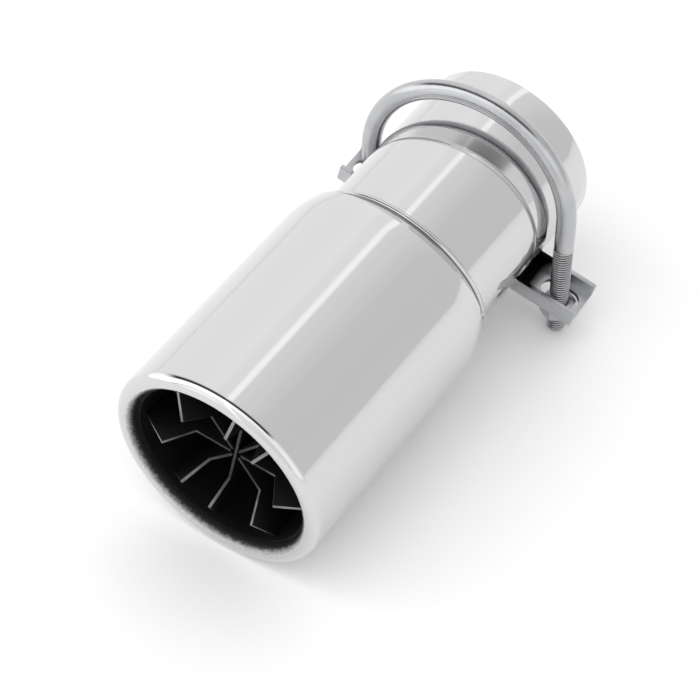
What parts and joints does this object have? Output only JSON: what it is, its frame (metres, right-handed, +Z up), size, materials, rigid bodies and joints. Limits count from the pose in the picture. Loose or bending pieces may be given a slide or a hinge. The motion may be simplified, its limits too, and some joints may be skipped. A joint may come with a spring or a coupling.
{
  "type": "exhaust tip",
  "caption": "Double-walled exhaust tip with a rolled rim, a necked shoulder, a star baffle in the mouth and a U-bolt clamp with saddle on its inlet tube.",
  "frame": {"origin": "centre of the rear opening of the inner tube, on its axis", "axes": "+Y runs to the rear (inlet) end, the mouth faces -Y, +Z is up and +X is to the right as seen from the mouth; the tube's axis rises a little over two degrees to the rear because the part lies on its rim and on the U-bolt's ends"},
  "size_m": [0.1117, 0.2027, 0.1052],
  "materials": {
    "polished_steel": "polished stainless steel, mirror bright with faint long polishing marks",
    "tube_steel": "polished stainless steel outside, matt black inside the mouth",
    "weld": "weld bead polished over",
    "vane_black": "matt black paint worn to bare metal along the cut edges",
    "bolt_zinc": "satin zinc plating",
    "saddle_zinc": "dull zinc plating, slightly darker than the U-bolt",
    "nut_zinc": "dull zinc plating"
  },
  "bodies": {
    "root": {"outer_skin": "polished_steel", "inner_tube": "tube_steel", "shoulder_weld": "weld", "vane_long": "vane_black", "vane_1": "vane_black", "vane_2": "vane_black", "vane_3": "vane_black", "vane_4": "vane_black", "vane_5": "vane_black", "vane_6": "vane_black", "u_bolt": "bolt_zinc", "saddle": "saddle_zinc", "nut_left": "nut_zinc", "nut_right": "nut_zinc"}
  },
  "joints": []
}
